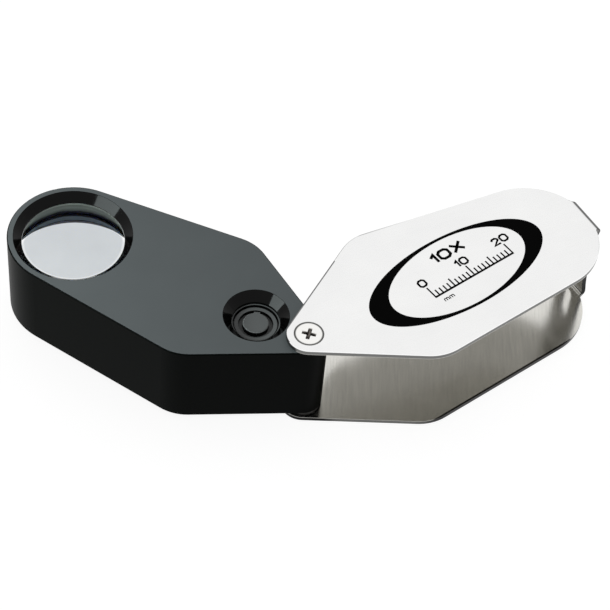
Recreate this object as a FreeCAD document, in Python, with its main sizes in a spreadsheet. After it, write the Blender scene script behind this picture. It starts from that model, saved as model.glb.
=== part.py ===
import FreeCAD, Part
import math
import os
import re

import Sketcher

# A folding pocket lens: a cemented triplet in a black housing that swings on one pivot out of a
# cover folded from a single strip of steel. A small lamp beside the lens is worked by a push
# button over the battery chamber.
#
# Millimetres. The origin is the pivot axis at the cover's underside, +X runs from the pivot to the
# strap at the cover's far end and +Z points up. The housing is drawn lying inside the cover and
# then swung open by open_angle.

DIMENSIONS = [
    # cover
    ("plate", 1.0, "thickness of the cover strip"),
    ("overhang", 0.6, "how far the cover's edge stands out past the housing"),
    ("strap_gap", 0.45, "space between the swinging housing and the strap"),
    ("strap_end_width", 8.4, "width of the strap where it bends into a plate"),
    ("strap_taper", 0.8, "how far each side of the strap draws in along its middle"),
    ("strap_flare_rise", 6.5, "height over which the strap widens"),
    ("strap_corner_round", 1.0, "round between a plate's edge and the strap"),
    ("bend_inside", 0.9, "inside radius of the two bends"),
    ("plate_edge_round", 0.15, "round on the plates' outer edges"),
    ("slot_width", 2.8, "width of the lanyard slot"),
    ("slot_length", 8.7, "length of the lanyard slot"),
    ("slot_middle", 7.7, "height of the lanyard slot's middle"),
    # pivot
    ("screw_shank", 1.5, "radius of the pivot screw's shank"),
    ("screw_length", 7.0, "length of the pivot screw"),
    ("screw_end_gap", 1.5, "space between the screw's end and the bottom of its hole"),
    ("recess_width", 0.7, "width of the screw's cross recess"),
    ("recess_length", 2.6, "length of the screw's cross recess"),
    ("recess_depth", 0.9, "depth of the screw's cross recess"),
    ("recess_angle", 45.0, "direction of the screw's cross recess"),
    ("post_wall", 0.5, "wall of the pivot post round the screw"),
    ("post_rim", 0.2, "width of the post's rim round the screw's countersink"),
    ("washer", 0.4, "thickness of the friction washers"),
    ("washer_inset", 0.25, "how far the friction washers stay inside the housing's round end"),
    ("running_fit", 0.05, "radial clearance of what turns or slides"),
    ("seat_fit", 0.05, "clearance round pieces that are fixed in place"),
    # housing
    ("pivot_to_lens", 52.0, "distance from the pivot to the lens axis"),
    ("housing_height", 18.8, "height of the housing"),
    ("head_wall", 1.8, "wall of the housing round the lens cell"),
    ("tail_radius", 3.75, "radius of the housing round the pivot"),
    ("shoulder_x", 20.0, "distance from the pivot to the widest corners"),
    ("shoulder_y", 16.4, "half the width over the sharp corners"),
    ("shoulder_round", 9.0, "radius that rounds the widest corners"),
    ("edge_round", 0.3, "round on the housing's edges"),
    ("mouth_round", 0.12, "round on the edges of the lens well and the finger dish"),
    ("overrun", 1.0, "how far a cut runs past the face that it opens"),
    ("open_angle", 121.5, "angle the housing is swung out of the cover"),
    # lens group
    ("well_flare", 1.65, "how far the conical lens well widens to the face"),
    ("well_depth", 1.6, "depth of the conical lens well"),
    ("lens_lip", 0.35, "thickness of the lip that the lens cell seats on"),
    ("clear_aperture", 10.1, "radius of the lens opening"),
    ("lens_edge", 0.4, "how far the lens reaches under its lip"),
    ("cell_wall", 0.55, "wall of the lens cell"),
    ("outer_bulge", 1.6, "rise of the triplet's outer surfaces over the lens opening"),
    ("meniscus_middle", 1.4, "middle thickness of each outer element"),
    ("core_edge", 1.4, "edge thickness of the inner element"),
    ("cement", 0.02, "thickness of the cement layers"),
    ("retainer_height", 1.55, "height of the ring that holds the triplet in its cell"),
    ("lock_ring_height", 1.5, "height of the ring that locks the cell"),
    ("rear_recess", 3.2, "depth of the lock ring in the underside"),
    ("spanner_slot", 1.2, "width of the spanner slots in the lock ring"),
    # button and switch
    ("button_offset", 11.25, "distance from the pivot to the button's axis"),
    ("dish_flare", 1.75, "how far the conical finger dish widens to the face"),
    ("dish_depth", 1.7, "depth of the finger dish"),
    ("bezel_ledge", 0.55, "ledge of the bezel outside its collar"),
    ("bezel_rim", 0.25, "width of the rim round the bezel's ledge"),
    ("rim_drop", 2.2, "depth of the bezel's rim below the face"),
    ("collar_wall", 0.75, "wall of the bezel's collar"),
    ("collar_gap", 0.88, "space between the button and the collar"),
    ("skirt_step", 0.1, "how much wider the bezel is bored below its floor"),
    ("collar_drop", 2.6, "depth of the collar's top below the face"),
    ("collar_height", 0.8, "height of the collar above the bezel's floor"),
    ("bezel_floor", 0.6, "thickness of the bezel's floor"),
    ("button_radius", 2.52, "radius of the push button"),
    ("button_stand", 0.4, "how far the button stands above the collar"),
    ("button_edge", 0.15, "bevel round the button's top"),
    ("flange_reach", 0.48, "how far the retaining flange stands out of the button"),
    ("flange_height", 0.3, "thickness of the button's retaining flange"),
    ("button_travel", 0.5, "travel of the push button"),
    ("key_width", 1.2, "width of the button's key tab"),
    ("key_reach", 0.42, "how far the key tab stands out of the button"),
    ("key_height", 0.3, "height of the key tab"),
    ("key_angle", -67.0, "direction of the key tab"),
    ("dome_foot", 2.4, "radius of the snap dome's foot"),
    ("dome_sheet", 0.1, "thickness of the snap dome"),
    ("switch_base_height", 0.7, "thickness of the switch base"),
    # battery
    ("web", 0.9, "floor between the switch and the battery chamber"),
    ("cell_radius", 5.8, "radius of a button cell"),
    ("cell_step", 0.35, "step round a button cell's cap"),
    ("cell_side", 0.25, "space round the button cells"),
    ("contact_sheet", 0.25, "thickness of the battery contact"),
    ("rivet", 0.8, "radius of the contact's rivet"),
    ("cap_ledge", 0.95, "ledge under the edge of the battery cap"),
    ("cap_height", 1.5, "thickness of the battery cap"),
    ("coin_slot_length", 8.0, "length of the coin slot"),
    ("coin_slot_width", 1.6, "width of the coin slot"),
    ("coin_slot_depth", 0.8, "depth of the coin slot"),
    ("spring_wire", 0.3, "diameter of the battery spring's wire"),
    ("spring_pitch", 0.45, "pitch of the battery spring"),
    ("spring_inset", 1.2, "how far the battery spring stays inside the edge of a cell"),
    ("spring_space", 1.35, "space for the battery spring between the cap and the cells"),
    # lamp
    ("lamp_setback", 3.25, "distance from the lens bore to the middle of the lamp's opening"),
    ("lamp_tilt", 30.0, "angle of the lamp towards the lens axis"),
    ("lamp_radius", 1.5, "radius of the lamp"),
    ("lamp_length", 4.5, "length of the lamp"),
    ("lamp_recess", 0.4, "depth of the lamp's tip in its hole"),
    ("lead_length", 2.2, "length of the lamp's leads"),
    ("lead_wire", 0.5, "width of the lamp's square leads"),
    ("lead_spacing", 1.4, "distance between the lamp's leads"),
    ("channel_width", 3.0, "width of the wiring channel"),
    ("channel_drop", 2.0, "depth of the wiring channel below the roof of the battery chamber"),
    ("channel_lap", 0.7, "how far the wiring channel runs into the switch bore"),
    ("strip", 0.3, "thickness of the contact strips"),
    ("strip_width", 0.9, "width of the contact strips"),
    ("strip_end_gap", 0.1, "space between a strip and its lead"),
]

doc = FreeCAD.newDocument("hand_lens")
sizes = doc.addObject("Spreadsheet::Sheet", "Sizes")
for row, (alias, number, meaning) in enumerate(DIMENSIONS, start=1):
    sizes.set(f"A{row}", meaning)
    sizes.set(f"B{row}", str(number))
    sizes.setAlias(f"B{row}", alias)
doc.recompute()

ALIASES = re.compile(r"\b(" + "|".join(alias for alias, _, _ in DIMENSIONS) + r")\b")

# Heights and places that several pieces share, as expressions over the sheet.
GAP_FLOOR = "plate"
HOUSING_BASE = "(plate + washer)"
GAP_HEIGHT = "(housing_height + 2 * washer)"
GAP_ROOF = f"({GAP_FLOOR} + {GAP_HEIGHT})"
COVER_TOP = f"({GAP_ROOF} + plate)"
POST = "(screw_shank + post_wall)"
POST_HOLE = f"({POST} + seat_fit)"
SEAT_MOUTH = f"({POST} - post_rim)"
SEAT_RIM = f"({SEAT_MOUTH} + plate)"
HEAD = f"({SEAT_RIM} - seat_fit)"
LENS_RADIUS = "(clear_aperture + lens_edge)"
CELL_BORE = f"({LENS_RADIUS} + seat_fit)"
CELL_OUTSIDE = f"({CELL_BORE} + cell_wall)"
LENS_BORE = f"({CELL_OUTSIDE} + seat_fit)"
HEAD_RADIUS = f"({LENS_BORE} + head_wall)"
STRAP_INSIDE = f"(pivot_to_lens + {HEAD_RADIUS} + strap_gap)"
STRAP_OUTSIDE = f"({STRAP_INSIDE} + plate)"
# Heights below are measured from the housing's underside.
LIP_UNDERSIDE = "(housing_height - well_depth - lens_lip)"
LENS_TOP = f"({LIP_UNDERSIDE} + outer_bulge - seat_fit)"
CELL_BOTTOM = "(rear_recess + lock_ring_height)"
RETAINER_TOP = f"({CELL_BOTTOM} + retainer_height)"
LENS_BOTTOM = f"({RETAINER_TOP} + seat_fit - outer_bulge)"
CORE_TOP = f"({LENS_TOP} - meniscus_middle - cement)"
CORE_BOTTOM = f"({LENS_BOTTOM} + meniscus_middle + cement)"
CORE_BULGE = f"(({CORE_TOP} - {CORE_BOTTOM} - core_edge) / 2)"
COLLAR_INSIDE = "(button_radius + collar_gap)"
COLLAR_OUTSIDE = f"({COLLAR_INSIDE} + collar_wall)"
SWITCH_RADIUS = f"({COLLAR_OUTSIDE} + bezel_ledge)"
COLLAR_TOP = "(housing_height - collar_drop)"
BEZEL_TOP = f"({COLLAR_TOP} - collar_height)"
BEZEL_UNDERSIDE = f"({BEZEL_TOP} - bezel_floor)"
BUTTON_TOP = f"({COLLAR_TOP} + button_stand)"
FLANGE_TOP = f"({BEZEL_UNDERSIDE} - seat_fit)"
FLANGE_BOTTOM = f"({FLANGE_TOP} - flange_height)"
SWITCH_BASE_TOP = f"({FLANGE_BOTTOM} - button_travel - dome_sheet)"
SWITCH_FLOOR = f"({SWITCH_BASE_TOP} - switch_base_height)"
CHAMBER_ROOF = f"({SWITCH_FLOOR} - web)"
CELL_NAMES = ("button_cell_lower", "button_cell_middle", "button_cell_upper")
CELLS_TOP = f"({CHAMBER_ROOF} - contact_sheet)"
CELLS_BOTTOM = "(cap_height + spring_space)"
CELL_HEIGHT = f"(({CELLS_TOP} - {CELLS_BOTTOM}) / {len(CELL_NAMES)})"
CHAMBER = "(cell_radius + cell_side)"
CAP_RADIUS = f"({CHAMBER} + cap_ledge)"
DOME_RISE = f"({FLANGE_BOTTOM} - {SWITCH_BASE_TOP} - seat_fit)"
LAMP_X = f"(pivot_to_lens - {LENS_BORE} - lamp_setback)"
LAMP_BACK = "(lamp_recess + lamp_length)"
LEAD_END = f"({LAMP_BACK} + lead_length)"
LEAD_X = f"({LAMP_X} - {LEAD_END} * sin(lamp_tilt))"
LEAD_Z = f"({LEAD_END} * cos(lamp_tilt))"
CHANNEL_FLOOR = f"({CHAMBER_ROOF} - channel_drop)"

nodes = []


def bound(text):
    """Points each size named in an expression at its cell."""
    return ALIASES.sub(r"Sizes.\1", text)


def size(text):
    return float(sizes.evalExpression(bound(text)))


def curve(half_width, bulge):
    """Radius of the arc that rises by bulge over a chord of two half widths."""
    return f"(({half_width} ^ 2 + {bulge} ^ 2) / (2 * {bulge}))"


def at(x="0", y="0", z="0", axis="0; 0; 1", angle="0"):
    return f"placement(vector({x}; {y}; {z}); rotation(vector({axis}); {angle}))"


SWUNG = f"{at(angle='open_angle')} * {at(z=HOUSING_BASE)}"


def in_housing(x, z="0"):
    """Placement of a piece on an upright axis of the housing."""
    return f"{SWUNG} * {at(x=x, z=z)}"


def body(name, placement=None):
    part = doc.addObject("PartDesign::Body", name)
    part.Label = name
    if placement:
        part.setExpression("Placement", bound(placement))
    nodes.append(part)
    return part


def sketch_on(part, role, name):
    sketch = part.newObject("Sketcher::SketchObject", name)
    plane = next(f for f in part.Origin.OriginFeatures if f.Role == role)
    sketch.AttachmentSupport = [(plane, "")]
    sketch.MapMode = "FlatFace"
    return sketch


def drive(sketch, kind, *references, to):
    """Adds a dimension whose value is bound to the sheet."""
    index = sketch.addConstraint(Sketcher.Constraint(kind, *references, size(to)))
    sketch.setExpression(f"Constraints[{index}]", bound(to))


def pin(sketch, edge, end, x, y):
    drive(sketch, "DistanceX", -1, 1, edge, end, to=x)
    drive(sketch, "DistanceY", -1, 1, edge, end, to=y)


def arc_between(start, end, radius, turn):
    """The shorter arc from start to end, anticlockwise for turn 1 and clockwise for turn -1."""
    chord = end - start
    reach = math.sqrt(max(radius**2 - (chord.Length / 2) ** 2, 0.0))
    side = FreeCAD.Vector(-chord.y, chord.x, 0).normalize() * turn
    centre = start + chord / 2 + side * reach
    first, last = (start, end) if turn > 0 else (end, start)
    first_angle = math.atan2(first.y - centre.y, first.x - centre.x)
    last_angle = math.atan2(last.y - centre.y, last.x - centre.x)
    circle = Part.Circle(centre, FreeCAD.Vector(0, 0, 1), radius)
    return Part.ArcOfCircle(circle, first_angle, last_angle)


def loop(sketch, corners, arcs=None):
    """A closed line through corners, each a pair of expressions.

    arcs maps an edge's number to (radius, turn), and to (None, turn, height) for a half circle
    whose centre lies at that height.
    """
    arcs = arcs or {}
    points = [FreeCAD.Vector(size(x), size(y), 0) for x, y in corners]
    edges = []
    for k, start in enumerate(points):
        end = points[(k + 1) % len(points)]
        if k not in arcs:
            edges.append((sketch.addGeometry(Part.LineSegment(start, end), False), 1, 2))
            continue
        radius, turn, *height = arcs[k]
        length = size(radius) if radius else (end - start).Length / 2
        edge = sketch.addGeometry(arc_between(start, end, length, turn), False)
        edges.append((edge, 1, 2) if turn > 0 else (edge, 2, 1))
    for k, (edge, start, end) in enumerate(edges):
        following, joined, _ = edges[(k + 1) % len(edges)]
        sketch.addConstraint(Sketcher.Constraint("Coincident", edge, end, following, joined))
        pin(sketch, edge, start, *corners[k])
        if k in arcs:
            radius, turn, *height = arcs[k]
            if radius:
                drive(sketch, "Radius", edge, to=radius)
            else:
                drive(sketch, "DistanceY", -1, 1, edge, 3, to=height[0])


def unit(angle):
    return FreeCAD.Vector(math.cos(angle), math.sin(angle), 0)


def outline(sketch, grow=None):
    """The plan of housing and cover: a small and a large end joined over two rounded shoulders.

    grow is the distance by which the whole line stands outside the housing's.
    """
    extra = size(grow) if grow else 0.0
    more = f" + {grow}" if grow else ""
    head = FreeCAD.Vector(size("pivot_to_lens"), 0, 0)
    tail_radius = size("tail_radius")
    head_radius = size(HEAD_RADIUS)
    rounding = size("shoulder_round") + extra
    sides = []
    for sign in (-1, 1):
        corner = FreeCAD.Vector(size("shoulder_x"), sign * size("shoulder_y"), 0)
        back = corner - head
        to_tail = sign * math.acos(tail_radius / corner.Length)
        to_head = sign * math.acos(head_radius / back.Length)
        tail_normal = unit(math.atan2(corner.y, corner.x) + to_tail)
        head_normal = unit(math.atan2(back.y, back.x) - to_head)
        # centre of the shoulder: inside both flanks by its own radius
        along_tail = tail_radius + extra - rounding
        along_head = head_radius + extra - rounding + head_normal.dot(head)
        cross = tail_normal.x * head_normal.y - tail_normal.y * head_normal.x
        centre = FreeCAD.Vector(
            (along_tail * head_normal.y - along_head * tail_normal.y) / cross,
            (along_head * tail_normal.x - along_tail * head_normal.x) / cross,
            0,
        )
        sides.append(
            {
                "corner": corner,
                "tail_end": tail_normal * (tail_radius + extra),
                "shoulder_in": centre + tail_normal * rounding,
                "shoulder_out": centre + head_normal * rounding,
                "head_end": head + head_normal * (head_radius + extra),
                "centre": centre,
            }
        )
    low, high = sides

    def arc(centre, radius, first, last):
        circle = Part.Circle(centre, FreeCAD.Vector(0, 0, 1), radius)
        angles = [math.atan2(p.y - centre.y, p.x - centre.x) for p in (first, last)]
        return sketch.addGeometry(Part.ArcOfCircle(circle, *angles), False)

    def line(first, last):
        return sketch.addGeometry(Part.LineSegment(first, last), False)

    origin = FreeCAD.Vector(0, 0, 0)
    tail = arc(origin, tail_radius + extra, high["tail_end"], low["tail_end"])
    low_tail = line(low["tail_end"], low["shoulder_in"])
    low_shoulder = arc(low["centre"], rounding, low["shoulder_in"], low["shoulder_out"])
    low_head = line(low["shoulder_out"], low["head_end"])
    head_arc = arc(head, head_radius + extra, low["head_end"], high["head_end"])
    high_head = line(high["head_end"], high["shoulder_out"])
    high_shoulder = arc(high["centre"], rounding, high["shoulder_out"], high["shoulder_in"])
    high_tail = line(high["shoulder_in"], high["tail_end"])
    ring = [tail, low_tail, low_shoulder, low_head, head_arc, high_head, high_shoulder, high_tail]
    for k, edge in enumerate(ring):
        following = ring[(k + 1) % len(ring)]
        sketch.addConstraint(Sketcher.Constraint("Tangent", edge, 2, following, 1))
    sketch.addConstraint(Sketcher.Constraint("Coincident", tail, 3, -1, 1))
    sketch.addConstraint(Sketcher.Constraint("PointOnObject", head_arc, 3, -1))
    drive(sketch, "DistanceX", -1, 1, head_arc, 3, to="pivot_to_lens")
    drive(sketch, "Radius", tail, to=f"tail_radius{more}")
    drive(sketch, "Radius", head_arc, to=f"{HEAD_RADIUS}{more}")
    flanks = [("-shoulder_y", low, low_tail, low_shoulder, low_head)]
    flanks.append(("shoulder_y", high, high_tail, high_shoulder, high_head))
    for height, side, to_tail, shoulder, to_head in flanks:
        drive(sketch, "Radius", shoulder, to=f"shoulder_round{more}")
        corner = sketch.addGeometry(Part.Point(side["corner"]), True)
        pin(sketch, corner, 1, "shoulder_x", height)
        for flank in (to_tail, to_head):
            if grow:
                drive(sketch, "Distance", corner, 1, flank, to=grow)
            else:
                sketch.addConstraint(Sketcher.Constraint("PointOnObject", corner, 1, flank))


def add(part, kind, name, sketch=None):
    feature = part.newObject(kind, name)
    if sketch:
        feature.Profile = sketch
    return feature


def pad(part, name, sketch, length):
    feature = add(part, "PartDesign::Pad", name, sketch)
    feature.setExpression("Length", bound(length))
    doc.recompute()
    return feature


def confirm_cut(part, feature, before):
    doc.recompute()
    if not part.Shape.Volume < before - 1e-6:
        raise RuntimeError(f"{feature.Label} removed nothing from {part.Label}")


def cut_through(part, name, sketch):
    """Cuts the sketch right through the piece, both ways."""
    before = part.Shape.Volume
    feature = add(part, "PartDesign::Pocket", name, sketch)
    feature.SideType = "Symmetric"
    feature.Type = "ThroughAll"
    confirm_cut(part, feature, before)
    return feature


def cut_turned(part, name, sketch, axis):
    before = part.Shape.Volume
    feature = add(part, "PartDesign::Groove", name, sketch)
    feature.ReferenceAxis = (sketch, [axis])
    feature.Angle = 360
    confirm_cut(part, feature, before)
    return feature


def cut_solid(part, kind, name, placement, **lengths):
    before = part.Shape.Volume
    feature = add(part, kind, name)
    feature.setExpression("Placement", bound(placement))
    for attribute, length in lengths.items():
        feature.setExpression(attribute, bound(length))
    confirm_cut(part, feature, before)


def ease(part, name, kind, base, chosen, radius):
    """Rounds the chosen edges of the piece's last feature."""
    feature = part.newObject(kind, name)
    edges = [f"Edge{k}" for k, edge in enumerate(base.Shape.Edges, start=1) if chosen(edge)]
    if not edges:
        raise RuntimeError(f"{name} found no edge")
    feature.Base = (base, edges)
    feature.setExpression("Radius", bound(radius))
    doc.recompute()
    return feature


def turned(name, placement, corners, arcs=None):
    """A piece turned about its own upright axis, from corners of (radius, height)."""
    part = body(name, placement)
    sketch = sketch_on(part, "XZ_Plane", f"{name}_profile")
    loop(sketch, corners, arcs)
    feature = add(part, "PartDesign::Revolution", f"{name}_turning", sketch)
    feature.ReferenceAxis = (sketch, ["V_Axis"])
    feature.Angle = 360
    doc.recompute()
    return part


def near(value, wanted):
    return abs(value - wanted) < 1e-4


def flat_at(edge, height):
    return all(near(vertex.Z, height) for vertex in edge.Vertexes) and near(
        edge.BoundBox.ZLength, 0
    )


def make_cover():
    """One strip folded round the housing: two plates joined by a narrow slotted strap."""
    part = body("folding_cover")
    plan = sketch_on(part, "XY_Plane", "plate_outline")
    outline(plan, grow="overhang")
    pad(part, "plates", plan, COVER_TOP)
    tongue = sketch_on(part, "XY_Plane", "strap_tongue")
    half = "strap_end_width / 2"
    loop(
        tongue,
        [
            ("pivot_to_lens", f"-{half}"),
            (STRAP_OUTSIDE, f"-{half}"),
            (STRAP_OUTSIDE, half),
            ("pivot_to_lens", half),
        ],
    )
    strap = pad(part, "strap", tongue, COVER_TOP)
    side = size(half)
    start = size("pivot_to_lens")
    end = size(STRAP_OUTSIDE)

    def at_strap_root(edge):
        upright = near(edge.BoundBox.ZLength, size(COVER_TOP))
        x, y = edge.Vertexes[0].X, edge.Vertexes[0].Y
        return upright and near(abs(y), side) and start < x < end - 1e-3

    rooted = ease(part, "strap_root", "PartDesign::Fillet", strap, at_strap_root, "strap_corner_round")

    def at_bend(edge):
        box = edge.BoundBox
        return near(box.XMin, end) and near(box.XMax, end) and near(box.ZLength, 0)

    ease(part, "bends", "PartDesign::Fillet", rooted, at_bend, "bend_inside + plate")
    gap = sketch_on(part, "XZ_Plane", "gap_profile")
    far = "-(tail_radius + overhang + overrun)"
    loop(
        gap,
        [
            (far, GAP_FLOOR),
            (f"{STRAP_INSIDE} - bend_inside", GAP_FLOOR),
            (STRAP_INSIDE, f"{GAP_FLOOR} + bend_inside"),
            (STRAP_INSIDE, f"{GAP_ROOF} - bend_inside"),
            (f"{STRAP_INSIDE} - bend_inside", GAP_ROOF),
            (far, GAP_ROOF),
        ],
        arcs={1: ("bend_inside", 1), 3: ("bend_inside", 1)},
    )
    cut_through(part, "gap", gap)
    waist = sketch_on(part, "YZ_Plane", "waist_profile")
    flare = curve("strap_flare_rise", "strap_taper")
    waist_side = "(strap_end_width / 2 - strap_taper)"
    low = f"{GAP_FLOOR} + strap_flare_rise"
    high = f"{GAP_ROOF} - strap_flare_rise"
    clear = "(strap_end_width / 2 + 2 * strap_corner_round)"
    for sign in ("-", ""):
        turn = 1 if sign else -1
        loop(
            waist,
            [
                (f"{sign}{waist_side}", low),
                (f"{sign}{waist_side}", high),
                (f"{sign}strap_end_width / 2", GAP_ROOF),
                (f"{sign}{clear}", GAP_ROOF),
                (f"{sign}{clear}", GAP_FLOOR),
                (f"{sign}strap_end_width / 2", GAP_FLOOR),
            ],
            arcs={1: (flare, turn), 5: (flare, turn)},
        )
    cut_through(part, "waist", waist)
    slot = sketch_on(part, "YZ_Plane", "slot_profile")
    bottom = "slot_middle - (slot_length - slot_width) / 2"
    top = "slot_middle + (slot_length - slot_width) / 2"
    loop(
        slot,
        [
            ("-slot_width / 2", bottom),
            ("slot_width / 2", bottom),
            ("slot_width / 2", top),
            ("-slot_width / 2", top),
        ],
        arcs={0: (None, 1, bottom), 2: (None, 1, top)},
    )
    slotted = cut_through(part, "lanyard_slot", slot)

    def on_plate_edge(edge):
        across_bend = near(edge.BoundBox.XLength, 0)
        outer_face = flat_at(edge, 0) or flat_at(edge, size(COVER_TOP))
        return outer_face and not across_bend

    ease(part, "plate_edges", "PartDesign::Fillet", slotted, on_plate_edge, "plate_edge_round")
    seats = sketch_on(part, "XZ_Plane", "pivot_seats")
    loop(
        seats,
        [
            ("0", GAP_ROOF),
            (SEAT_MOUTH, GAP_ROOF),
            (SEAT_RIM, COVER_TOP),
            ("0", COVER_TOP),
        ],
    )
    loop(
        seats,
        [
            ("0", "0"),
            (SEAT_RIM, "0"),
            (POST_HOLE, f"{SEAT_RIM} - {POST_HOLE}"),
            (POST_HOLE, GAP_FLOOR),
            ("0", GAP_FLOOR),
        ],
    )
    cut_turned(part, "pivot_holes", seats, "V_Axis")


def make_pivot():
    """A headed post through both plates, closed by a countersunk screw from above."""
    screw = turned(
        "pivot_screw",
        None,
        [
            ("0", f"{COVER_TOP} - screw_length"),
            ("screw_shank", f"{COVER_TOP} - screw_length"),
            ("screw_shank", f"{COVER_TOP} - ({HEAD} - screw_shank)"),
            (HEAD, COVER_TOP),
            ("0", COVER_TOP),
        ],
    )
    floor = f"{COVER_TOP} - recess_depth"
    for name, length, width in (
        ("recess_along", "recess_length", "recess_width"),
        ("recess_across", "recess_width", "recess_length"),
    ):
        cut_solid(
            screw,
            "PartDesign::SubtractiveBox",
            name,
            f"{at(angle='recess_angle')} * {at(x=f'-{length} / 2', y=f'-{width} / 2', z=floor)}",
            Length=length,
            Width=width,
            Height="recess_depth",
        )
    thread = "(screw_shank + seat_fit)"
    hole_end = f"{COVER_TOP} - screw_length - screw_end_gap"
    turned(
        "pivot_post",
        None,
        [
            ("0", "0"),
            (HEAD, "0"),
            (POST, f"{HEAD} - {POST}"),
            (POST, GAP_ROOF),
            (SEAT_MOUTH, GAP_ROOF),
            (thread, f"{GAP_ROOF} - ({SEAT_MOUTH} - {thread})"),
            (thread, hole_end),
            ("0", hole_end),
        ],
    )
    washer_edge = "tail_radius - washer_inset"
    for name, base in (
        ("lower_washer", GAP_FLOOR),
        ("upper_washer", f"{GAP_ROOF} - washer"),
    ):
        turned(
            name,
            at(z=base),
            [
                (POST_HOLE, "0"),
                (washer_edge, "0"),
                (washer_edge, "washer"),
                (POST_HOLE, "washer"),
            ],
        )


def make_housing():
    """The black housing with its lens well, finger dish, battery chamber and lamp hole."""
    part = body("lens_housing", SWUNG)
    plan = sketch_on(part, "XY_Plane", "housing_outline")
    outline(plan)
    block = pad(part, "block", plan, "housing_height")

    def on_rim(edge):
        return flat_at(edge, 0) or flat_at(edge, size("housing_height"))

    ease(part, "edges", "PartDesign::Fillet", block, on_rim, "edge_round")
    pivot = sketch_on(part, "XY_Plane", "pivot_bore_outline")
    pivot_fit = f"{POST} + running_fit"
    circle = Part.Circle(FreeCAD.Vector(0, 0, 0), FreeCAD.Vector(0, 0, 1), size(pivot_fit))
    bore = pivot.addGeometry(circle, False)
    pivot.addConstraint(Sketcher.Constraint("Coincident", bore, 3, -1, 1))
    drive(pivot, "Radius", bore, to=pivot_fit)
    cut_through(part, "pivot_bore", pivot)

    def cut_about(name, axis_x, corners):
        """Cuts a turned recess about the upright axis at axis_x."""
        sketch = sketch_on(part, "XZ_Plane", f"{name}_profile")
        foot = FreeCAD.Vector(size(axis_x), 0, 0)
        rise = FreeCAD.Vector(0, size("housing_height"), 0)
        axis = sketch.addGeometry(Part.LineSegment(foot, foot + rise), True)
        sketch.addConstraint(Sketcher.Constraint("Vertical", axis))
        pin(sketch, axis, 1, axis_x, "0")
        drive(sketch, "DistanceY", axis, 1, axis, 2, to="housing_height")
        loop(sketch, [(f"{axis_x} + {radius}", height) for radius, height in corners])
        return cut_turned(part, name, sketch, "Axis0")

    above = "housing_height + overrun"
    well_mouth = "clear_aperture + well_flare"
    cut_about(
        "lens_bore",
        "pivot_to_lens",
        [
            ("0", "-overrun"),
            (LENS_BORE, "-overrun"),
            (LENS_BORE, LIP_UNDERSIDE),
            ("clear_aperture", LIP_UNDERSIDE),
            ("clear_aperture", "housing_height - well_depth"),
            (well_mouth, "housing_height"),
            (well_mouth, above),
            ("0", above),
        ],
    )
    cap_seat = f"{CAP_RADIUS} + seat_fit"
    rivet_hole = "rivet + seat_fit"
    switch_bore = f"{SWITCH_RADIUS} + seat_fit"
    dish_mouth = f"{SWITCH_RADIUS} + dish_flare"
    mouths = cut_about(
        "button_and_battery_bore",
        "button_offset",
        [
            ("0", "-overrun"),
            (cap_seat, "-overrun"),
            (cap_seat, "cap_height"),
            (CHAMBER, "cap_height"),
            (CHAMBER, CHAMBER_ROOF),
            (rivet_hole, CHAMBER_ROOF),
            (rivet_hole, SWITCH_FLOOR),
            (switch_bore, SWITCH_FLOOR),
            (switch_bore, "housing_height - dish_depth"),
            (dish_mouth, "housing_height"),
            (dish_mouth, above),
            ("0", above),
        ],
    )

    def on_mouth(edge):
        return near(edge.BoundBox.ZMin, size("housing_height")) and any(
            near(getattr(edge.Curve, "Radius", 0), size(radius)) for radius in (well_mouth, dish_mouth)
        )

    ease(part, "mouths", "PartDesign::Fillet", mouths, on_mouth, "mouth_round")
    channel_start = f"(button_offset + {SWITCH_RADIUS} - channel_lap)"
    channel_end = f"({LEAD_X} + strip_width)"
    cut_solid(
        part,
        "PartDesign::SubtractiveBox",
        "wiring_channel",
        at(x=channel_start, y="-channel_width / 2", z=CHANNEL_FLOOR),
        Length=f"{channel_end} - {channel_start}",
        Width="channel_width",
        Height=f"{SWITCH_BASE_TOP} - {CHANNEL_FLOOR}",
    )
    cut_solid(
        part,
        "PartDesign::SubtractiveBox",
        "lead_shaft",
        at(x=f"{LEAD_X} - strip_width", y="-channel_width / 2", z=f"{LEAD_Z} - lead_length"),
        Length="2 * strip_width",
        Width="channel_width",
        Height=f"{SWITCH_BASE_TOP} - {LEAD_Z} + lead_length",
    )
    lamp_axis = at(x=LAMP_X, axis="0; 1; 0", angle="-lamp_tilt")
    cut_solid(
        part,
        "PartDesign::SubtractiveCylinder",
        "lamp_hole",
        f"{lamp_axis} * {at(z='-overrun')}",
        Radius="lamp_radius + seat_fit",
        Height=f"{LAMP_BACK} + overrun + lead_length / 2",
    )


def lens_element(name, top, top_arc, bottom, bottom_arc):
    """One element between two arcs, each (radius, rise): a negative rise curves downwards."""

    def rim(apex, arc):
        radius, rise = arc
        sag = f"({radius} - sqrt({radius} ^ 2 - {LENS_RADIUS} ^ 2))"
        return f"{apex} {'-' if rise > 0 else '+'} {sag}"

    turned(
        name,
        in_housing("pivot_to_lens"),
        [
            ("0", bottom),
            (LENS_RADIUS, rim(bottom, bottom_arc)),
            (LENS_RADIUS, rim(top, top_arc)),
            ("0", top),
        ],
        arcs={0: (bottom_arc[0], -bottom_arc[1]), 2: top_arc},
    )


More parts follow.
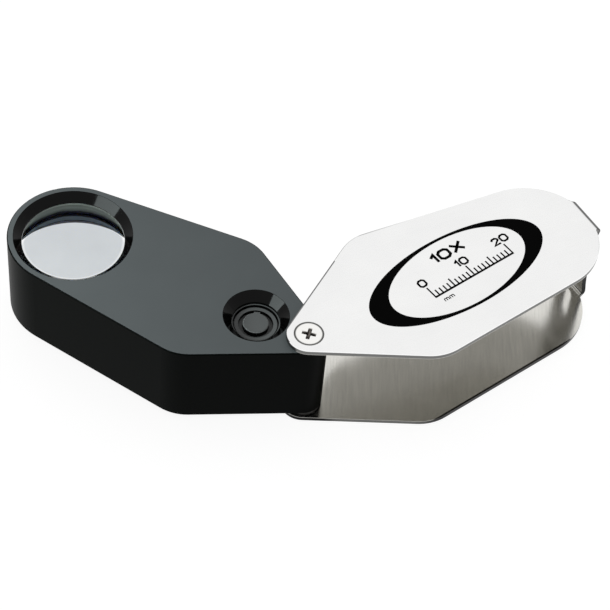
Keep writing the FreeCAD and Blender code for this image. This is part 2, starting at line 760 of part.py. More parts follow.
def make_lens_group():
    """A cemented triplet in a tube that seats on the lip under the lens well."""
    outer = curve("clear_aperture", "outer_bulge")
    inner = curve(LENS_RADIUS, CORE_BULGE)
    lens_element("front_lens", LENS_TOP, (outer, 1), f"{CORE_TOP} + cement", (inner, 1))
    lens_element("centre_lens", CORE_TOP, (inner, 1), CORE_BOTTOM, (inner, -1))
    lens_element("rear_lens", f"{CORE_BOTTOM} - cement", (inner, -1), LENS_BOTTOM, (outer, -1))
    axis = in_housing("pivot_to_lens")
    turned(
        "lens_cell",
        axis,
        [
            (CELL_BORE, CELL_BOTTOM),
            (CELL_OUTSIDE, CELL_BOTTOM),
            (CELL_OUTSIDE, LIP_UNDERSIDE),
            (CELL_BORE, LIP_UNDERSIDE),
        ],
    )
    turned(
        "lens_retainer",
        axis,
        [
            ("clear_aperture", CELL_BOTTOM),
            (LENS_RADIUS, CELL_BOTTOM),
            (LENS_RADIUS, RETAINER_TOP),
            ("clear_aperture", RETAINER_TOP),
        ],
    )
    ring = turned(
        "cell_lock_ring",
        axis,
        [
            ("clear_aperture", "rear_recess"),
            (CELL_OUTSIDE, "rear_recess"),
            (CELL_OUTSIDE, CELL_BOTTOM),
            ("clear_aperture", CELL_BOTTOM),
        ],
    )
    cut_solid(
        ring,
        "PartDesign::SubtractiveBox",
        "spanner_slots",
        at(x=f"-({CELL_OUTSIDE} + overrun)", y="-spanner_slot / 2", z="rear_recess"),
        Length=f"2 * ({CELL_OUTSIDE} + overrun)",
        Width="spanner_slot",
        Height="lock_ring_height / 2",
    )


def make_switch():
    """A push switch: bezel with collar, keyed button, snap dome and base."""
    axis = in_housing("button_offset")
    turned(
        "switch_base",
        axis,
        [
            ("0", SWITCH_FLOOR),
            (SWITCH_RADIUS, SWITCH_FLOOR),
            (SWITCH_RADIUS, SWITCH_BASE_TOP),
            ("0", SWITCH_BASE_TOP),
        ],
    )
    inner_foot = "(dome_foot - 2 * dome_sheet)"
    inner_rise = f"({DOME_RISE} - dome_sheet)"
    turned(
        "switch_dome",
        axis,
        [
            (inner_foot, SWITCH_BASE_TOP),
            ("dome_foot", SWITCH_BASE_TOP),
            ("0", f"{SWITCH_BASE_TOP} + {DOME_RISE}"),
            ("0", f"{SWITCH_BASE_TOP} + {inner_rise}"),
        ],
        arcs={
            1: (curve("dome_foot", DOME_RISE), 1),
            3: (curve(inner_foot, inner_rise), -1),
        },
    )
    skirt = f"{COLLAR_INSIDE} + skirt_step"
    hole = "button_radius + running_fit"
    flange = "button_radius + flange_reach"
    turned(
        "switch_bezel",
        axis,
        [
            (skirt, SWITCH_BASE_TOP),
            (SWITCH_RADIUS, SWITCH_BASE_TOP),
            (SWITCH_RADIUS, "housing_height - rim_drop"),
            (f"{SWITCH_RADIUS} - bezel_rim", "housing_height - rim_drop"),
            (f"{SWITCH_RADIUS} - bezel_rim", BEZEL_TOP),
            (COLLAR_OUTSIDE, BEZEL_TOP),
            (COLLAR_OUTSIDE, COLLAR_TOP),
            (COLLAR_INSIDE, COLLAR_TOP),
            (COLLAR_INSIDE, BEZEL_TOP),
            (hole, BEZEL_TOP),
            (hole, BEZEL_UNDERSIDE),
            (skirt, BEZEL_UNDERSIDE),
        ],
    )
    button = turned(
        "light_button",
        axis,
        [
            ("0", FLANGE_BOTTOM),
            (flange, FLANGE_BOTTOM),
            (flange, FLANGE_TOP),
            ("button_radius", FLANGE_TOP),
            ("button_radius", f"{BUTTON_TOP} - button_edge"),
            ("button_radius - button_edge", BUTTON_TOP),
            ("0", BUTTON_TOP),
        ],
    )
    key = add(button, "PartDesign::AdditiveBox", "button_key")
    turn = at(angle="key_angle")
    root = "(button_radius - key_reach)"
    base = f"{BEZEL_TOP} + button_travel + 2 * seat_fit"
    key.setExpression("Placement", bound(f"{turn} * {at(x=root, y='-key_width / 2', z=base)}"))
    key.setExpression("Length", bound("2 * key_reach"))
    key.setExpression("Width", bound("key_width"))
    key.setExpression("Height", bound("key_height"))


def make_battery():
    """Three button cells between a riveted contact and a coin-slotted cap with its spring."""
    axis = in_housing("button_offset")
    turned(
        "battery_contact",
        axis,
        [
            ("0", CELLS_TOP),
            (SWITCH_RADIUS, CELLS_TOP),
            (SWITCH_RADIUS, CHAMBER_ROOF),
            ("rivet", CHAMBER_ROOF),
            ("rivet", SWITCH_FLOOR),
            ("0", SWITCH_FLOOR),
        ],
    )
    for k, name in enumerate(CELL_NAMES):
        turned(
            name,
            in_housing("button_offset", f"{CELLS_BOTTOM} + {k} * {CELL_HEIGHT}"),
            [
                ("0", "0"),
                ("cell_radius - 2 * cell_step", "0"),
                ("cell_radius - 2 * cell_step", "cell_step"),
                ("cell_radius", "cell_step"),
                ("cell_radius", CELL_HEIGHT),
                ("0", CELL_HEIGHT),
            ],
        )
    cap = turned(
        "battery_cap",
        axis,
        [
            ("0", "0"),
            (CAP_RADIUS, "0"),
            (CAP_RADIUS, "cap_height"),
            ("0", "cap_height"),
        ],
    )
    cut_solid(
        cap,
        "PartDesign::SubtractiveBox",
        "coin_slot",
        at(x="-coin_slot_length / 2", y="-coin_slot_width / 2"),
        Length="coin_slot_length",
        Width="coin_slot_width",
        Height="coin_slot_depth",
    )
    spring = body("battery_spring", in_housing("button_offset", "cap_height + spring_wire / 2"))
    wire = sketch_on(spring, "XZ_Plane", "spring_wire_section")
    coil_radius = "cell_radius - spring_inset"
    centre = FreeCAD.Vector(size(coil_radius), 0, 0)
    circle = Part.Circle(centre, FreeCAD.Vector(0, 0, 1), size("spring_wire / 2"))
    section = wire.addGeometry(circle, False)
    pin(wire, section, 3, coil_radius, "0")
    drive(wire, "Radius", section, to="spring_wire / 2")
    coil = add(spring, "PartDesign::AdditiveHelix", "coil", wire)
    coil.ReferenceAxis = (wire, ["V_Axis"])
    coil.Mode = "pitch-height-angle"
    coil.setExpression("Pitch", bound("spring_pitch"))
    coil.setExpression("Height", bound("spring_space - spring_wire"))


def from_bars(name, kind, placement, boxes):
    """Straight bars in one node, each (place, length, width, height)."""
    bars = []
    for place, length, width, height in boxes:
        bar = doc.addObject("Part::Box", f"{name}_bar_{len(bars) + 1}")
        bar.setExpression("Placement", bound(place))
        bar.setExpression("Length", bound(length))
        bar.setExpression("Width", bound(width))
        bar.setExpression("Height", bound(height))
        bars.append(bar)
    whole = doc.addObject(kind, name)
    if kind == "Part::MultiFuse":
        whole.Shapes = bars
        whole.Refine = True
    else:
        whole.Links = bars
    whole.Label = name
    whole.setExpression("Placement", bound(placement))
    nodes.append(whole)
    doc.recompute()


def make_lamp():
    """The lamp in its slanted hole, its leads, and the strips that feed it."""
    lamp_axis = f"{SWUNG} * {at(x=LAMP_X, axis='0; 1; 0', angle='-lamp_tilt')}"
    turned(
        "lamp",
        lamp_axis,
        [
            ("0", "lamp_recess"),
            ("lamp_radius", "lamp_recess + lamp_radius"),
            ("lamp_radius", LAMP_BACK),
            ("0", LAMP_BACK),
        ],
        arcs={0: ("lamp_radius", 1)},
    )
    centres = ("-lead_spacing / 2", "lead_spacing / 2")
    leads = []
    for centre in centres:
        place = at(x="-lead_wire / 2", y=f"{centre} - lead_wire / 2", z=LAMP_BACK)
        leads.append((place, "lead_wire", "lead_wire", "lead_length"))
    from_bars("lamp_leads", "Part::Compound", lamp_axis, leads)
    foot = f"({LEAD_Z} + lead_wire / 2 + strip_end_gap)"
    feeds = (
        ("feed_strip", centres[0], SWITCH_RADIUS, f"({SWITCH_BASE_TOP} - 2 * strip)"),
        ("return_strip", centres[1], "cell_radius", f"({CHANNEL_FLOOR} + strip)"),
    )
    for name, centre, start, level in feeds:
        left = f"{centre} - strip_width / 2"
        from_x = f"(button_offset + {start} + seat_fit)"
        reach = f"{LEAD_X} + strip / 2 - {from_x}"
        fall = f"{level} + strip - {foot}"
        run = (at(x=from_x, y=left, z=level), reach, "strip_width", "strip")
        drop = (at(x=f"{LEAD_X} - strip / 2", y=left, z=foot), "strip", "strip_width", fall)
        from_bars(name, "Part::MultiFuse", SWUNG, [run, drop])


make_cover()
make_pivot()
make_housing()
make_lens_group()
make_switch()
make_battery()
make_lamp()
doc.recompute()

for item in doc.Objects:
    if {"Invalid", "Error"} & set(item.State):
        raise RuntimeError(f"{item.Label} failed: {item.State}")
for node in nodes:
    if node.Shape.isNull() or not node.Shape.isValid():
        raise RuntimeError(f"{node.Label} has no sound shape")

os.makedirs("parts", exist_ok=True)
for node in nodes:
    node.Shape.exportStep(f"parts/{node.Label}.step")
    print(f"{node.Label}: {len(node.Shape.Solids)} solid(s), {node.Shape.Volume:.2f} mm3")
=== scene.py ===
import math

import bmesh
import bpy
import numpy as np
from mathutils import Matrix, Vector


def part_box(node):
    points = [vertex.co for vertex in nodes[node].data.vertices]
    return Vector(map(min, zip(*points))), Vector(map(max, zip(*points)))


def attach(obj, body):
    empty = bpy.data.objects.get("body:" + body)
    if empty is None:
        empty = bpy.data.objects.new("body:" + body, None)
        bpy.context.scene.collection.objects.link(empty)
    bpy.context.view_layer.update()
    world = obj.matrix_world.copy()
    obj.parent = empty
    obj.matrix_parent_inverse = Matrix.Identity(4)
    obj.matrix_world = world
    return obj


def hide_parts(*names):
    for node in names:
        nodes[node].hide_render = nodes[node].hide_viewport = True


# A folding pocket lens: a black housing with a triplet, a push button and a small lamp, swung out of
# a cover folded from one strip of stainless steel. Everything is in metres in the part's own frame,
# and lengths below are written in millimetres.

MM = 0.001

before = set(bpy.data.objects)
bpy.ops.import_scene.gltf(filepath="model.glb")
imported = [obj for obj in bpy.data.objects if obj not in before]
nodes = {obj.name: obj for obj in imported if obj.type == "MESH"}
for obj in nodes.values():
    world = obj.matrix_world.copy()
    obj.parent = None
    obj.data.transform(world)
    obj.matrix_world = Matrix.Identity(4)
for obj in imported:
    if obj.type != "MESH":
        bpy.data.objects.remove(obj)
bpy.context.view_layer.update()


def middle(node):
    """The middle of a node's box, in millimetres."""
    low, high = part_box(node)
    return np.array((low + high) / 2) / MM


def top_of(node):
    """The height of a node's top, in millimetres."""
    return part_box(node)[1].z / MM


def bottom_of(node):
    """The height of a node's underside, in millimetres."""
    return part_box(node)[0].z / MM


COVER_TOP = top_of("folding_cover")
FACE = top_of("lens_housing")
LENS_AXIS = middle("front_lens")
BUTTON_AXIS = middle("switch_base")
PLATE = 1.0  # thickness of the cover's strip
STRAP_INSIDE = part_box("folding_cover")[1].x / MM - PLATE
HEAD_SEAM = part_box("pivot_screw")[1].x / MM
BORE_EDGE = 10.2  # a radius just outside the bore that shows the lens
EDGE_TOP, EDGE_FOOT = 18.05, 7.85  # heights between which the triplet's ground edge changes tone
LENS_WELL, BUTTON_WELL = 11.9, 6.7  # how far the two flared wells reach from their axes
LIP_LOW, LIP_HIGH = FACE - 1.96, FACE - 1.83  # the lip at the foot of the lens well
PRINT_UNDER, PRINT_OVER = -0.03, 0.008  # levels of the printing, from the cover's top

# Straight edges of the plates, seen from above: a place, the way outwards, and how far out the painted
# shade beside the edge starts.
SCREW_SIDE = ((0.0, 0.0), (-0.5152, 0.857), 4.05)
FAR_SIDE = ((52.0, 0.0), (0.1049, 0.9945), 13.26)
NEAR_SIDE = ((52.0, 0.0), (0.1049, -0.9945), 13.15)


# ---------------------------------------------------------------- surfaces

def surface(name, grid, close_u=False, close_v=False, smooth=True):
    """A mesh over a grid of points (rows u, columns v), in millimetres.

    Quad k joins points (i, j), (i + 1, j), (i + 1, j + 1), (i, j + 1); a closed direction also joins
    its last row or column to its first. Rows that shrink to one point are merged into a pole.
    """
    rows, columns = grid.shape[:2]
    i = np.arange(rows if close_u else rows - 1)[:, None]
    j = np.arange(columns if close_v else columns - 1)[None, :]
    after_i = (i + 1) % rows
    after_j = (j + 1) % columns
    quads = np.stack(
        [i * columns + j, after_i * columns + j, after_i * columns + after_j, i * columns + after_j],
        axis=-1,
    ).reshape(-1, 4)
    mesh = bpy.data.meshes.new(name)
    mesh.from_pydata((grid.reshape(-1, 3) * MM).tolist(), [], quads.tolist())
    work = bmesh.new()
    work.from_mesh(mesh)
    bmesh.ops.remove_doubles(work, verts=work.verts, dist=1e-8)
    bmesh.ops.recalc_face_normals(work, faces=work.faces)
    work.to_mesh(mesh)
    work.free()
    mesh.polygons.foreach_set("use_smooth", np.full(len(mesh.polygons), smooth))
    mesh.update()
    piece = bpy.data.objects.new(name, mesh)
    bpy.context.scene.collection.objects.link(piece)
    return piece


def creased(piece, degrees=30.0):
    """Keeps edges sharper than this angle crisp on a smooth mesh."""
    mesh = piece.data
    work = bmesh.new()
    work.from_mesh(mesh)
    for edge in work.edges:
        sharp = len(edge.link_faces) == 2 and edge.calc_face_angle(0.0) > math.radians(degrees)
        edge.smooth = not sharp
    work.to_mesh(mesh)
    work.free()
    return piece


def turned(name, axis, profile, steps=192):
    """A piece turned about an upright axis: (x + r cos a, y + r sin a, z) for each (r, z) given."""
    angle = np.linspace(0, 2 * math.pi, steps, endpoint=False)[:, None]
    radius, height = np.array(profile, float).T
    grid = np.stack(
        [
            axis[0] + radius * np.cos(angle),
            axis[1] + radius * np.sin(angle),
            np.broadcast_to(height, (steps, len(height))),
        ],
        axis=-1,
    )
    return creased(surface(name, grid, close_u=True))


def cap(radius, rim, apex, count=24):
    """Profile of a spherical cap from its apex on the axis to its rim: z = c + s sqrt(R^2 - r^2)."""
    sag = abs(apex - rim)
    curve = (radius**2 + sag**2) / (2 * sag)
    out = radius * np.sin(np.linspace(0, 1, count) * math.pi / 2)
    drop = curve - np.sqrt(curve**2 - out**2)
    return np.stack([out, apex - math.copysign(1, apex - rim) * drop], axis=-1)


# ---------------------------------------------------------------- shader nodes

class Material:
    """A node material with a Principled BSDF; numbers go straight on its sockets."""

    def __init__(self, name, **values):
        self.material = bpy.data.materials.new(name)
        self.material.use_nodes = True
        self.tree = self.material.node_tree
        self.shader = next(n for n in self.tree.nodes if n.type == "BSDF_PRINCIPLED")
        for socket, value in values.items():
            self.shader.inputs[socket.replace("_", " ")].default_value = value

    def feed(self, socket, source):
        """Links a node's output to one of the shader's sockets."""
        self.tree.links.new(source, self.shader.inputs[socket])


def put(tree, socket, value):
    """Links another node's output to a socket, or sets the socket to a number or colour."""
    if isinstance(value, bpy.types.NodeSocket):
        tree.links.new(value, socket)
    else:
        socket.default_value = value


def place(tree, kind, settings=None, **inputs):
    """Adds a node; inputs are given by socket name with underscores for spaces, or as i0, i1, ..."""
    node = tree.nodes.new(kind)
    for name, value in (settings or {}).items():
        setattr(node, name, value)
    for name, value in inputs.items():
        numbered = name[0] == "i" and name[1:].isdigit()
        put(tree, node.inputs[int(name[1:]) if numbered else name.replace("_", " ")], value)
    return node


def calc(tree, operation, *values, clamp=False):
    """A Math node's output."""
    inputs = {f"i{k}": value for k, value in enumerate(values)}
    settings = {"operation": operation, "use_clamp": clamp}
    return place(tree, "ShaderNodeMath", settings, **inputs).outputs[0]


def times(tree, first, *others):
    """The product of two or more numbers."""
    for other in others:
        first = calc(tree, "MULTIPLY", first, other)
    return first


def ramp(tree, value, low, high, start=0.0, end=1.0, smooth=False):
    """Maps low to high onto start to end, and stays level beyond both."""
    settings = {"interpolation_type": "SMOOTHSTEP" if smooth else "LINEAR"}
    return place(tree, "ShaderNodeMapRange", settings, Value=value, From_Min=low, From_Max=high,
                 To_Min=start, To_Max=end).outputs[0]


def group(name, inputs, outputs):
    """An empty shader node group with float or colour sockets."""
    tree = bpy.data.node_groups.new(name, "ShaderNodeTree")
    for socket, value in inputs.items():
        made = tree.interface.new_socket(name=socket, in_out="INPUT", socket_type="NodeSocketFloat")
        made.default_value = value
    for socket, kind in outputs.items():
        tree.interface.new_socket(name=socket, in_out="OUTPUT", socket_type=f"NodeSocket{kind}")
    return tree, tree.nodes.new("NodeGroupInput"), tree.nodes.new("NodeGroupOutput")


def use(material, tree, **inputs):
    """Places a shared group in a material."""
    node = material.tree.nodes.new("ShaderNodeGroup")
    node.node_tree = tree
    for name, value in inputs.items():
        put(material.tree, node.inputs[name.replace("_", " ")], value)
    return node


def mix(tree, factor, first, second):
    """A colour between two colours."""
    node = tree.nodes.new("ShaderNodeMix")
    node.data_type = "RGBA"
    for socket, value in ((0, factor), (6, first), (7, second)):
        put(tree, node.inputs[socket], value)
    return node.outputs[2]


def make_brushing():
    """Fine straight lines of a brushed or handled surface: noise stretched along one direction."""
    inputs = {"Lines per mm": 8.0, "Stretch": 30.0, "Turn": 0.0}
    tree, given, out = group("brushing", inputs, {"Lines": "Float", "Cloud": "Float"})
    where = tree.nodes.new("ShaderNodeTexCoord").outputs["Object"]
    turn = place(tree, "ShaderNodeCombineXYZ", Z=given.outputs["Turn"]).outputs[0]
    turned_place = place(tree, "ShaderNodeVectorRotate", {"rotation_type": "EULER_XYZ"},
                         Vector=where, Rotation=turn).outputs[0]
    fine = times(tree, given.outputs["Lines per mm"], 1 / MM)
    coarse = calc(tree, "DIVIDE", fine, given.outputs["Stretch"])
    scale = place(tree, "ShaderNodeCombineXYZ", X=coarse, Y=fine, Z=fine).outputs[0]
    stretched = place(tree, "ShaderNodeVectorMath", {"operation": "MULTIPLY"},
                      i0=turned_place, i1=scale).outputs[0]
    lines = place(tree, "ShaderNodeTexNoise", Vector=stretched, Scale=1.0, Detail=2.0, Roughness=0.6)
    cloud = place(tree, "ShaderNodeTexNoise", Vector=where, Scale=120.0, Detail=3.0, Roughness=0.5)
    tree.links.new(lines.outputs[0], out.inputs["Lines"])
    tree.links.new(cloud.outputs[0], out.inputs["Cloud"])
    return tree


def make_grain():
    """Fine even grain of a blasted, anodised or moulded surface, and a slow cloud over it."""
    inputs = {"Grains per mm": 10.0, "Cloud size": 8.0}
    tree, given, out = group("grain", inputs, {"Grain": "Float", "Cloud": "Float"})
    where = tree.nodes.new("ShaderNodeTexCoord").outputs["Object"]
    scale = times(tree, given.outputs["Grains per mm"], 1 / MM)
    grain = place(tree, "ShaderNodeTexNoise", Vector=where, Scale=scale, Detail=2.0, Roughness=0.7)
    slow = calc(tree, "DIVIDE", 1 / MM, given.outputs["Cloud size"])
    cloud = place(tree, "ShaderNodeTexNoise", Vector=where, Scale=slow, Detail=3.0, Roughness=0.5)
    tree.links.new(grain.outputs[0], out.inputs["Grain"])
    tree.links.new(cloud.outputs[0], out.inputs["Cloud"])
    return tree


def make_radius():
    """Distance from an upright axis, and height, both in millimetres."""
    inputs = {"Axis x": 0.0, "Axis y": 0.0}
    tree, given, out = group("radius", inputs, {"Radius": "Float", "Height": "Float"})
    where = tree.nodes.new("ShaderNodeTexCoord").outputs["Object"]
    parts = place(tree, "ShaderNodeSeparateXYZ", i0=where)
    x = calc(tree, "SUBTRACT", calc(tree, "DIVIDE", parts.outputs[0], MM), given.outputs["Axis x"])
    y = calc(tree, "SUBTRACT", calc(tree, "DIVIDE", parts.outputs[1], MM), given.outputs["Axis y"])
    square = calc(tree, "ADD", times(tree, x, x), times(tree, y, y))
    tree.links.new(calc(tree, "SQRT", square), out.inputs["Radius"])
    tree.links.new(calc(tree, "DIVIDE", parts.outputs[2], MM), out.inputs["Height"])
    return tree


def make_facing():
    """How a surface lies: 1 on flat level faces, 1 on the rounds beside them, how far it faces x."""
    outputs = {"Level": "Float", "Round": "Float", "Along x": "Float"}
    tree, _, out = group("facing", {}, outputs)
    normal = tree.nodes.new("ShaderNodeTexCoord").outputs["Normal"]
    parts = place(tree, "ShaderNodeSeparateXYZ", i0=normal)
    upright = calc(tree, "ABSOLUTE", parts.outputs[2])
    level = ramp(tree, upright, 0.93, 0.995, smooth=True)
    off_wall = ramp(tree, upright, 0.1, 0.35, smooth=True)
    rounded = calc(tree, "SUBTRACT", off_wall, level, clamp=True)
    tree.links.new(level, out.inputs["Level"])
    tree.links.new(rounded, out.inputs["Round"])
    tree.links.new(calc(tree, "ABSOLUTE", parts.outputs[0]), out.inputs["Along x"])
    return tree


BRUSHING = make_brushing()
GRAIN = make_grain()
RADIUS = make_radius()
FACING = make_facing()


def between(tree, value, low, high):
    """1 where value lies between low and high."""
    above = calc(tree, "GREATER_THAN", value, low)
    below = calc(tree, "LESS_THAN", value, high)
    return times(tree, above, below)


def blend_values(tree, factor, first, second):
    """A number between two numbers."""
    node = tree.nodes.new("ShaderNodeMix")
    node.data_type = "FLOAT"
    for socket, value in ((0, factor), (2, first), (3, second)):
        put(tree, node.inputs[socket], value)
    return node.outputs[0]


def spread(tree, value, low, high):
    """Maps a noise value of about 0.3 to 0.7 onto low to high."""
    return ramp(tree, value, 0.3, 0.7, low, high)


def relief(material, height, depth_mm, strength=1.0):
    """Bump from a height of 0 to 1 times a depth."""
    bump = place(material.tree, "ShaderNodeBump", Strength=strength, Distance=depth_mm * MM,
                 Height=height)
    material.feed("Normal", bump.outputs[0])


def beside_edge(tree, place_xy, start, outward, reach, soft=0.04):
    """1 where a place lies further than reach from start on the way outward, in millimetres."""
    x = times(tree, place_xy.outputs[0], outward[0] / MM)
    y = times(tree, place_xy.outputs[1], outward[1] / MM)
    away = start[0] * outward[0] + start[1] * outward[1]
    return ramp(tree, calc(tree, "ADD", x, y), reach + away - soft, reach + away + soft)


def make_cover_steel():
    """Stainless strip: satin outside, near mirror on the inner faces.

    Tones set by place on the cover are painted light: highlight and shade on the rounded edges, shade
    on the cut edges, in bands beside the edges, round the screw and on the strap's sides, and a
    painted reflection of dark on the bends. They are a guess, because some of them may be light rather
    than finish.
    """
    made = Material("cover_steel", Metallic=1.0)
    tree = made.tree
    lines = use(made, BRUSHING, Lines_per_mm=9.0, Stretch=40.0, Turn=0.1).outputs
    streaks = use(made, BRUSHING, Lines_per_mm=2.2, Stretch=14.0, Turn=-0.995).outputs
    facing = use(made, FACING).outputs
    from_pivot = use(made, RADIUS).outputs
    radius, height = from_pivot["Radius"], from_pivot["Height"]
    coordinates = tree.nodes.new("ShaderNodeTexCoord").outputs
    place_xy = place(tree, "ShaderNodeSeparateXYZ", i0=coordinates["Object"])
    along, across = place_xy.outputs[0], place_xy.outputs[1]
    normal = place(tree, "ShaderNodeSeparateXYZ", i0=coordinates["Normal"])

    # Parts of the cover: inner faces of the plates, flat faces of the strap, cut edges, bends.
    upper = calc(tree, "GREATER_THAN", height, COVER_TOP / 2)
    lower = calc(tree, "SUBTRACT", 1.0, upper)
    between_plates = between(tree, height, 0.9, COVER_TOP - 0.9)
    strap_height = between(tree, height, PLATE, COVER_TOP - PLATE)
    inside = times(tree, between_plates, calc(tree, "LESS_THAN", radius, STRAP_INSIDE + 0.4))
    strap_face = times(tree, calc(tree, "GREATER_THAN", radius, STRAP_INSIDE - 1.2),
                       calc(tree, "GREATER_THAN", facing["Along x"], 0.75), strap_height)
    strap_side = times(tree, calc(tree, "GREATER_THAN", radius, STRAP_INSIDE - 0.6),
                       calc(tree, "GREATER_THAN", calc(tree, "ABSOLUTE", normal.outputs[1]), 0.4),
                       strap_height)
    level_or_round = calc(tree, "ADD", facing["Level"], facing["Round"])
    off_level = calc(tree, "SUBTRACT", 1.0, level_or_round, clamp=True)
    not_cut = calc(tree, "MAXIMUM", strap_face, inside)
    cut = calc(tree, "SUBTRACT", off_level, not_cut, clamp=True)
    on_plate = ramp(tree, radius, STRAP_INSIDE - 4.0, STRAP_INSIDE - 2.5, 1.0, 0.0)
    plate_round = times(tree, facing["Round"], on_plate)
    from_middle = calc(tree, "ABSOLUTE", calc(tree, "SUBTRACT", height, COVER_TOP / 2))
    # The bends get a dark tone: a painted reflection of dark.
    bend = times(tree, calc(tree, "GREATER_THAN", radius, STRAP_INSIDE - 0.7),
                 calc(tree, "SUBTRACT", 1.0, facing["Level"], clamp=True),
                 ramp(tree, from_middle, COVER_TOP / 2 - 4.0, COVER_TOP / 2 - 1.0, smooth=True))
    # A dark ring on the cover round the screw head: painted shade in the gap.
    screw_ring_shade = between(tree, radius, HEAD_SEAM - 0.05, HEAD_SEAM + 0.17)

    # Stretches along the edges.
    # Where the upper rim gets painted shade in place of its painted highlight.
    rim_painted_dark = times(tree, ramp(tree, along, 20 * MM, 32 * MM, 1.0, 0.0),
                 calc(tree, "GREATER_THAN", across, 0.0))
    front = times(tree, ramp(tree, along, 1 * MM, 4 * MM, smooth=True),
                  ramp(tree, along, 16 * MM, 22 * MM, 1.0, 0.0, smooth=True))
    # Painted shade in bands beside the upper plate's edges, near the screw and on the far side.
    screw_band = times(tree, beside_edge(tree, place_xy, *SCREW_SIDE),
                       calc(tree, "LESS_THAN", along, 14.0 * MM))
    far_band = times(tree, ramp(tree, along, 14 * MM, 33 * MM, 1.0, 0.0),
                     beside_edge(tree, place_xy, *FAR_SIDE))
    edge_shade_band = times(tree, calc(tree, "MAXIMUM", screw_band, far_band), upper)
    border_shade = times(tree, beside_edge(tree, place_xy, *NEAR_SIDE),
                   calc(tree, "GREATER_THAN", along, 20 * MM), lower)

    # Tones, from the plain face to the painted highlight and shade that lie over it.
    # Upper rims a painted highlight with a stretch of painted shade; lower rims painted shade except
    # at the front.
    upper_rim = mix(tree, rim_painted_dark, (0.95, 0.95, 0.95, 1), (0.05, 0.05, 0.05, 1))
    lower_rim = mix(tree, front, (0.02, 0.02, 0.02, 1), (0.45, 0.44, 0.42, 1))
    # The cut edges darker than the faces, darkest on the lower plate: painted shade.
    lower_cut = mix(tree, front, (0.008, 0.008, 0.008, 1), (0.13, 0.13, 0.125, 1))
    at_upper_cut = calc(tree, "GREATER_THAN", height, COVER_TOP - 1.05)
    outer = mix(tree, lines["Cloud"], (0.57, 0.57, 0.57, 1), (0.62, 0.62, 0.615, 1))
    # Over the face: painted highlight and shade on the rounds, painted shade in the bands, on the cut
    # edges and round the screw, a painted reflection of dark on the bends.
    for where, tone in (
        (plate_round, mix(tree, upper, lower_rim, upper_rim)),
        (edge_shade_band, (0.13, 0.13, 0.13, 1)),
        (cut, mix(tree, at_upper_cut, lower_cut, (0.17, 0.17, 0.165, 1))),
        (bend, (0.08, 0.08, 0.078, 1)),
        (screw_ring_shade, (0.12, 0.12, 0.118, 1)),
    ):
        outer = mix(tree, where, outer, tone)
    inner = mix(tree, spread(tree, streaks["Lines"], 0.0, 1.0),
                (0.44, 0.434, 0.41, 1), (0.505, 0.495, 0.465, 1))
    # A dark line along the lower plate's inner face by its near edge: painted shade.
    inner = mix(tree, border_shade, inner, (0.03, 0.029, 0.027, 1))
    whole = mix(tree, inside, outer, inner)
    # The strap's narrow sides almost black: painted shade.
    made.feed("Base Color", mix(tree, strap_side, whole, (0.02, 0.02, 0.02, 1)))
    satin = spread(tree, lines["Lines"], 0.24, 0.34)
    mirror = spread(tree, lines["Cloud"], 0.13, 0.2)
    made.feed("Roughness", blend_values(tree, inside, satin, mirror))
    relief(made, lines["Lines"], 0.002, 0.3)
    return made.material


def make_housing_black():
    """Satin black housing, glossy on the turned walls of the two wells.

    Level faces are dark grey and the others almost black, the difference being painted shade on the
    walls and in the wells; the pale ring at the lip under the lens well is a painted highlight. Level
    faces are dark grey and the others almost black, a guess, because part of that may be light.
    """
    made = Material("housing_black", Specular_IOR_Level=0.02, Coat_Roughness=0.06, Coat_IOR=1.17)
    tree = made.tree
    grain = use(made, GRAIN, Grains_per_mm=12.0, Cloud_size=9.0).outputs
    level = use(made, FACING).outputs["Level"]
    in_lens = use(made, RADIUS, Axis_x=LENS_AXIS[0], Axis_y=LENS_AXIS[1]).outputs
    in_button = use(made, RADIUS, Axis_x=BUTTON_AXIS[0], Axis_y=BUTTON_AXIS[1]).outputs
    height = in_lens["Height"]
    below_face = calc(tree, "LESS_THAN", height, FACE - 0.02)
    lens_well = times(tree, calc(tree, "LESS_THAN", in_lens["Radius"], LENS_WELL), below_face)
    button_well = times(tree, calc(tree, "LESS_THAN", in_button["Radius"], BUTTON_WELL), below_face)
    wells = calc(tree, "MAXIMUM", lens_well, button_well)
    lip = times(tree, calc(tree, "LESS_THAN", in_lens["Radius"], BORE_EDGE),
                between(tree, height, LIP_LOW, LIP_HIGH))
    face = mix(tree, grain["Cloud"], (0.098, 0.105, 0.108, 1), (0.110, 0.118, 0.121, 1))
    # Walls and wells almost black against the grey level faces: painted shade.
    base = mix(tree, level, (0.001, 0.0015, 0.0012, 1), face)
    # The pale ring at the lip under the lens well: a painted highlight.
    well = mix(tree, lip, (0.001, 0.001, 0.001, 1), (0.3, 0.32, 0.3, 1))
    made.feed("Base Color", mix(tree, wells, base, well))
    made.feed("Coat Weight", wells)
    satin = spread(tree, grain["Grain"], 0.33, 0.42)
    made.feed("Roughness", blend_values(tree, wells, satin, 0.12))
    relief(made, grain["Grain"], 0.003, 0.25)
    return made.material


def make_plain(name, dark, light, rough, metallic=0.0, **values):
    """A grained material between two colours and two roughnesses."""
    made = Material(name, Metallic=metallic, **values)
    grain = use(made, GRAIN, Grains_per_mm=12.0, Cloud_size=4.0).outputs
    made.feed("Base Color", mix(made.tree, grain["Cloud"], (*dark, 1), (*light, 1)))
    made.feed("Roughness", spread(made.tree, grain["Grain"], *rough))
    relief(made, grain["Grain"], 0.002, 0.3)
    return made.material


